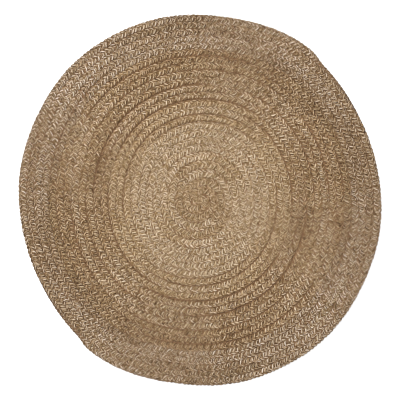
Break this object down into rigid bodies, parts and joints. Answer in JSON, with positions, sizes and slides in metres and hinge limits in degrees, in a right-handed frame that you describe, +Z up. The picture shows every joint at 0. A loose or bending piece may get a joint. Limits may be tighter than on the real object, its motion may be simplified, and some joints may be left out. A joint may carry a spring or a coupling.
{
  "type": "round jute rug",
  "caption": "Round flat rug of natural jute: flat plaits wound in a spiral and sewn edge to edge, with a slightly uneven rim. Lies on a floor.",
  "frame": {"origin": "centre of the flat underside, on the floor", "axes": "+Z up out of the rug's top face; +X and +Y in the plane of the floor, +X to the right and +Y away from the viewer when the rug is seen from above as in the picture"},
  "size_m": [1.2056, 1.2304, 0.011],
  "materials": {
    "jute": "matte undyed braided jute"
  },
  "bodies": {
    "root": {"braided_mat": "jute"}
  },
  "joints": []
}
